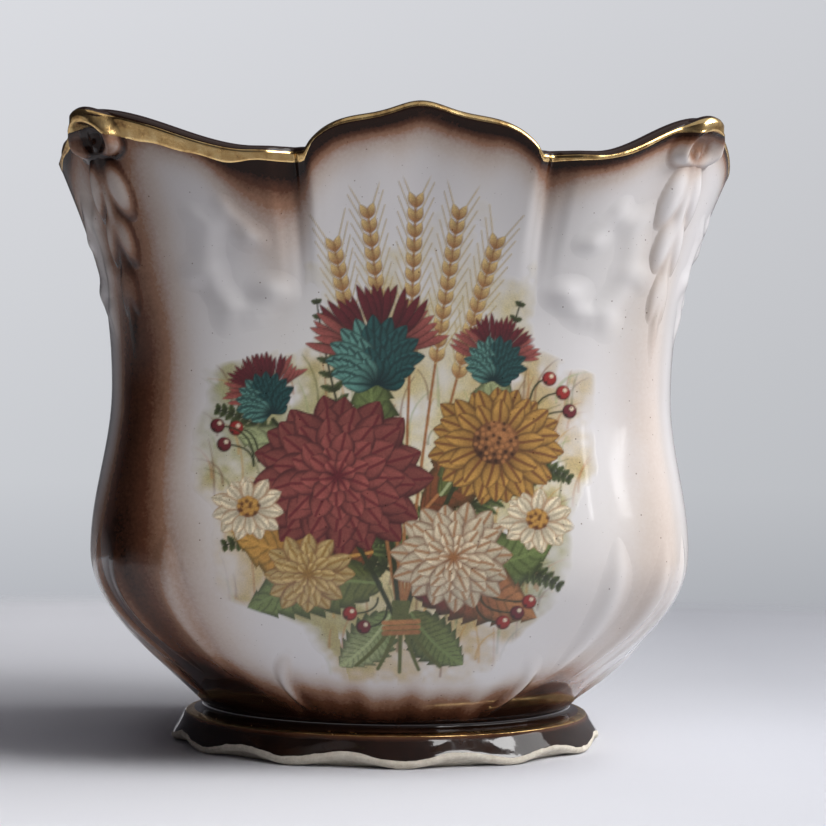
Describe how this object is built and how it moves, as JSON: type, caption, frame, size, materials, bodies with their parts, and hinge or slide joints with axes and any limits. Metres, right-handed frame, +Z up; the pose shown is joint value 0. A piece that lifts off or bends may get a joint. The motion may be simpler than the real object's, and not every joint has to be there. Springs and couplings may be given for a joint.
{
  "type": "ceramic flowerpot",
  "caption": "Four-sided glazed earthenware jardiniere with a waisted body, scalloped gilt rim, corner leaf relief and a scalloped foot; holds a potted plant.",
  "frame": {"origin": "on the pot's axis, in the plane that the foot stands on", "axes": "+Z up along the axis; -Y is the front side that carries the print, +X to its right"},
  "size_m": [0.178, 0.178, 0.1683],
  "materials": {
    "glaze": "high gloss ivory glaze",
    "relief_glaze": "high gloss ivory glaze over relief",
    "foot_glaze": "dark brown gloss glaze, bare cream edge below",
    "gold": "fired bright gold lustre",
    "print": "fired transfer print under gloss"
  },
  "bodies": {
    "root": {"pot_body": "glaze", "foot_ring": "foot_glaze", "rim_gilding": "gold", "foot_gilding": "gold", "transfer_front": "print", "transfer_back": "print", "corner_leaf_front_right": "relief_glaze", "corner_leaf_back_right": "relief_glaze", "corner_leaf_back_left": "relief_glaze", "corner_leaf_front_left": "relief_glaze", "corner_ear_front_right": "relief_glaze", "corner_ear_back_right": "relief_glaze", "corner_ear_back_left": "relief_glaze", "corner_ear_front_left": "relief_glaze", "bowl_ribs_front_right": "relief_glaze", "bowl_ribs_back_right": "relief_glaze", "bowl_ribs_back_left": "relief_glaze", "bowl_ribs_front_left": "relief_glaze", "scroll_left_front": "relief_glaze", "scroll_left_right": "relief_glaze", "scroll_left_back": "relief_glaze", "scroll_left_left": "relief_glaze", "scroll_right_front": "relief_glaze", "scroll_right_right": "relief_glaze", "scroll_right_back": "relief_glaze", "scroll_right_left": "relief_glaze", "bowl_beads_front": "relief_glaze", "bowl_beads_right": "relief_glaze", "bowl_beads_back": "relief_glaze", "bowl_beads_left": "relief_glaze"}
  },
  "joints": []
}
